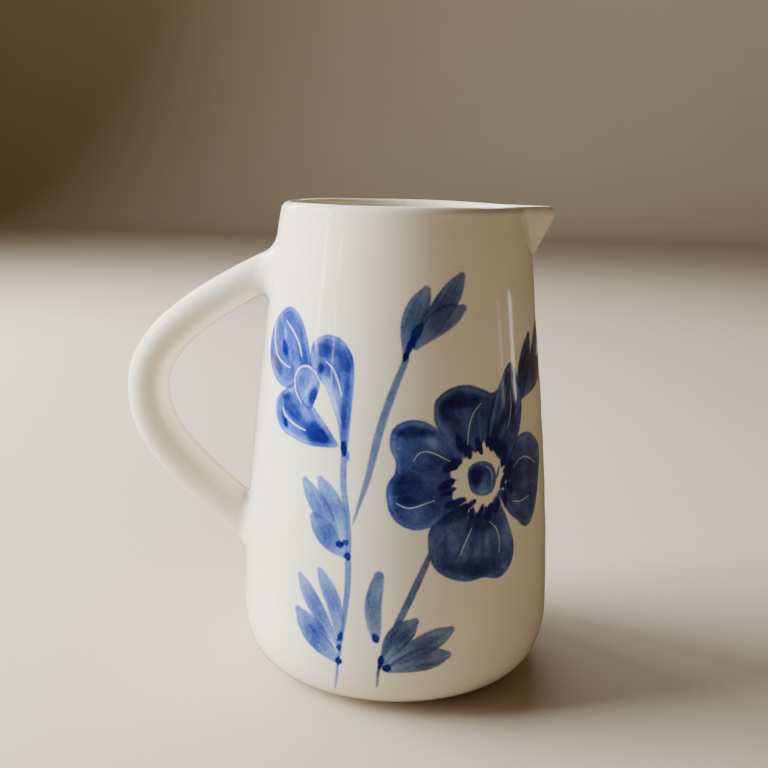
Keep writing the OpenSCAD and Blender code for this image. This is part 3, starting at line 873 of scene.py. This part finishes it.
def glaze_surface(n, place):
    """Gloss with the slight orange peel of a fired glaze."""
    n.shader.inputs["IOR"].default_value = 1.5
    n.shader.inputs["Subsurface Weight"].default_value = 0.02
    n.shader.inputs["Subsurface Radius"].default_value = (0.004, 0.003, 0.002)
    n.shader.inputs["Subsurface Scale"].default_value = 0.5
    patches = n.noise(place, 60, 3)
    n.set(n.shader.inputs["Roughness"], n.span(patches, 0.3, 0.7, 0.07, 0.13))
    peel = n.noise(place, 420, 2)
    swell = n.noise(place, 55, 2)
    upright = n.add("ShaderNodeMapping", {"Vector": place, "Scale": (1, 1, 0.04)}).outputs[0]
    runs = n.noise(upright, 260, 3)
    slow = n.math("ADD", swell, n.math("MULTIPLY", runs, 0.5))
    height = n.math("ADD", n.math("MULTIPLY", peel, 0.15), slow)
    bump = n.add("ShaderNodeBump", {"Height": height, "Distance": 0.00022, "Strength": 0.5})
    n.set(n.shader.inputs["Normal"], bump.outputs[0])


def plain_glaze():
    """The cream glaze alone, for the handle."""
    n = Nodes("cream_glaze")
    place = n.place()
    n.set(n.shader.inputs["Base Color"], glaze_ground(n, place))
    glaze_surface(n, place)
    return n.material


def painted_glaze():
    """Cobalt brushwork under the glaze, from the fields that the mesh carries."""
    n = Nodes("painted_glaze")
    place = n.place()
    ground = glaze_ground(n, place)
    tooth = n.flutter(place, 1300, 0.45, 2)
    edge = n.math("ADD", n.field("edge"), tooth)
    wet = n.span(edge, -0.46, 0.42)
    mottle = n.flutter(place, 900, 0.30, 4, 0.7)
    drift = n.flutter(place, 190, 0.26, 3)
    tone = n.math("ADD", n.field("tone"), n.math("ADD", mottle, drift), clamp=True)
    # The ink mixes clear cobalt with the slate ramp, which is partly painted shade
    ink = n.mix(n.field("cobalt"), n.ramp(tone, SLATE_AND_SHADE), n.ramp(tone, COBALT))
    colour = n.mix(wet, ground, ink)
    side = n.math("ABSOLUTE", n.field("line_side"))
    thin = n.span(side, 0.16, 0.42, 1.0, 0.0)
    line = n.math("MULTIPLY", n.math("MULTIPLY", thin, n.span(n.field("line_near"), 0.6, 0.95)), 0.76)
    line = n.math("MULTIPLY", line, n.span(n.noise(place, 900, 2), 0.30, 0.60, 0.55, 1.0))
    colour = n.mix(line, colour, (*SCRATCHED, 1))
    n.set(n.shader.inputs["Base Color"], colour)
    glaze_surface(n, place)
    return n.material


def bare_clay():
    """Matte fired clay, sandy and a little stained."""
    n = Nodes("bare_clay")
    place = n.place()
    stain = n.span(n.noise(place, 70, 4), 0.35, 0.7)
    colour = n.mix(stain, (*CLAY_STAINED, 1), (*CLAY_PALE, 1))
    grain = n.noise(place, 1600, 3, 0.7)
    colour = n.mix(n.span(grain, 0.60, 0.74, 0.0, 0.5), colour, (*CLAY_GRAIN, 1))
    n.set(n.shader.inputs["Base Color"], colour)
    n.set(n.shader.inputs["Roughness"], n.span(grain, 0.3, 0.7, 0.78, 0.95))
    bump = n.add("ShaderNodeBump", {"Height": grain, "Distance": 0.0003, "Strength": 0.6})
    n.set(n.shader.inputs["Normal"], bump.outputs[0])
    return n.material


# ---------------------------------------------------------------------------
# Stage: floor, light and camera
# ---------------------------------------------------------------------------
def make_floor():
    """A pale floor that sweeps up into a backdrop far behind."""
    n = Nodes("pale_floor")
    tint = n.noise(n.place(), 3, 2)
    n.set(n.shader.inputs["Base Color"], n.mix(tint, (*FLOOR_DEEP, 1), (*FLOOR_PALE, 1)))
    n.shader.inputs["Roughness"].default_value = 0.6
    half, back, bend, wall_top = 3500.0, 2600.0, 900.0, 3200.0
    turn = np.linspace(0, math.pi / 2, 24)
    section = [(-half, 0.0)] + [(back + bend * math.sin(t), bend - bend * math.cos(t)) for t in turn]
    section.append((back + bend, wall_top))
    points = [(x, y, z) for y, z in section for x in (-half, half)]
    faces = [[2 * i, 2 * i + 1, 2 * i + 3, 2 * i + 2] for i in range(len(section) - 1)]
    floor = make_object("floor", points, faces, [n.material])
    floor.visible_glossy = False


WINDOW_LIGHT = (0.86, 0.94, 1.0)
SKY_LIGHT = (0.93, 0.97, 1.0)
PALE_LIGHT = (0.95, 0.98, 1.0)
ROOM_LIGHT = (1.0, 0.93, 0.84)
ROOM_SHADE = (1.0, 0.67, 0.35)
ROOM_STRENGTH = 0.125

# Name, place and size in metres, power in watts, colour, and whether the glaze mirrors it
LAMPS = (
    ("window", (-1.40, 0.16, 0.58), (1.2, 1.2), 138, WINDOW_LIGHT, False),
    ("back_window", (-0.15, 1.15, 0.95), (1.2, 0.4), 8, SKY_LIGHT, True),
    ("window_top", (-1.20, 0.0, 0.78), (0.6, 0.32), 4.5, SKY_LIGHT, True),
    ("rear_streak", (-0.78, 0.74, 0.58), (0.22, 0.5), 5.0, SKY_LIGHT, True),
    ("left_streak", (-0.94, -0.34, 0.24), (0.05, 0.26), 0.9, PALE_LIGHT, True),
    ("thin_streak", (-0.82, -0.57, 0.24), (0.012, 0.26), 0.25, PALE_LIGHT, True),
    ("right_streak", (0.95, 0.20, 0.11), (0.045, 0.18), 0.18, ROOM_LIGHT, True),
    ("faint_streak", (0.97, -0.05, 0.11), (0.04, 0.17), 0.05, ROOM_LIGHT, True),
)


def area_light(name, position, size, power, colour, shine):
    """A soft lamp that faces the vessel's middle."""
    lamp = bpy.data.lights.new(name, "AREA")
    lamp.shape = "RECTANGLE"
    lamp.size, lamp.size_y = size
    lamp.energy = power
    lamp.color = colour
    holder = bpy.data.objects.new(name, lamp)
    holder.location = position
    holder.visible_glossy = shine
    way = Vector((0, 0, HEIGHT / 2 * MM)) - Vector(position)
    holder.rotation_euler = way.to_track_quat("-Z", "Y").to_euler()
    bpy.context.scene.collection.objects.link(holder)


def make_light():
    """A large cool window at the left, and the warm shade of a room everywhere else."""
    for lamp in LAMPS:
        area_light(*lamp)
    world = bpy.data.worlds.new("room")
    world.use_nodes = True
    background = world.node_tree.nodes["Background"]
    background.inputs["Color"].default_value = (*ROOM_SHADE, 1)
    background.inputs["Strength"].default_value = ROOM_STRENGTH
    bpy.context.scene.world = world


def make_camera():
    """A camera in front of the vessel, a little above it, that looks down on it and leans slightly."""
    lens, sensor, shift = 46.8, 36.0, -0.0206
    place = (0.0, -0.3811, 0.1915)
    pitch, roll = math.radians(12.06), math.radians(1.38)
    forward = Vector((0, math.cos(pitch), -math.sin(pitch)))
    right = Vector((1, 0, 0))
    up = right.cross(forward)
    turned_right = right * math.cos(roll) + up * math.sin(roll)
    turned_up = up * math.cos(roll) - right * math.sin(roll)
    data = bpy.data.cameras.new("camera")
    data.lens, data.sensor_width = lens, sensor
    data.shift_x = shift
    data.clip_start, data.clip_end = 0.01, 20.0
    camera = bpy.data.objects.new("camera", data)
    axes = Matrix((turned_right, turned_up, -forward)).transposed().to_4x4()
    camera.matrix_world = Matrix.Translation(place) @ axes
    bpy.context.scene.collection.objects.link(camera)
    bpy.context.scene.camera = camera


# ---------------------------------------------------------------------------
# Build
# ---------------------------------------------------------------------------
make_camera()
make_light()
make_floor()

painted, plain, clay = painted_glaze(), plain_glaze(), bare_clay()

vessel, around, heights, outer_points = make_vessel([painted, clay])
paint(vessel, around, heights, outer_points)
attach(vessel, "root")
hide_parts("clay_body", "outer_glaze", "liner_glaze", "spout")

handle = make_handle(plain)
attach(handle, "root")
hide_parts("handle", "upper_handle_slip", "lower_handle_slip")

foot = make_foot(clay)
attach(foot, "root")
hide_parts("foot_ring")
